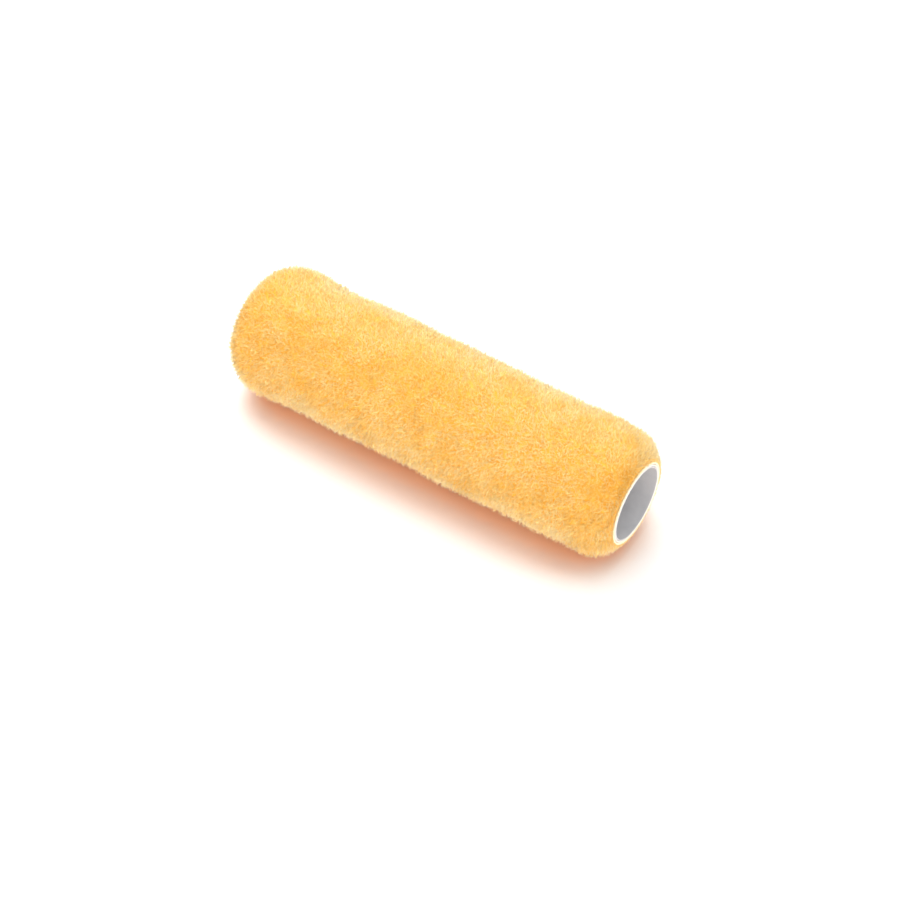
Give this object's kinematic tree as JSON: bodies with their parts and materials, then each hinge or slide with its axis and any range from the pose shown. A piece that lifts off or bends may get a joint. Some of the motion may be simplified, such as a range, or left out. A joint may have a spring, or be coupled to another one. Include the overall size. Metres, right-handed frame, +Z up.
{
  "type": "paint roller cover",
  "caption": "Cylindrical paint roller cover: wound plastic core, open right through, under a thick plush nap with rounded ends.",
  "frame": {"origin": "middle of the pressed strip of nap that the cover lies on", "axes": "+X along the axis of the roller; +Z up, away from the surface it lies on"},
  "size_m": [0.23, 0.068, 0.0674],
  "materials": {
    "grey_plastic": "smooth grey polypropylene strip",
    "pale_plastic": "pale polypropylene strip, seen only at the cut ends",
    "cream_knit": "knitted polyester backing",
    "golden_plush": "dense fluffy yellow-orange pile"
  },
  "bodies": {
    "root": {"core_inner_ply": "grey_plastic", "core_outer_ply": "pale_plastic", "nap_backing": "cream_knit", "nap": "golden_plush"}
  },
  "joints": []
}
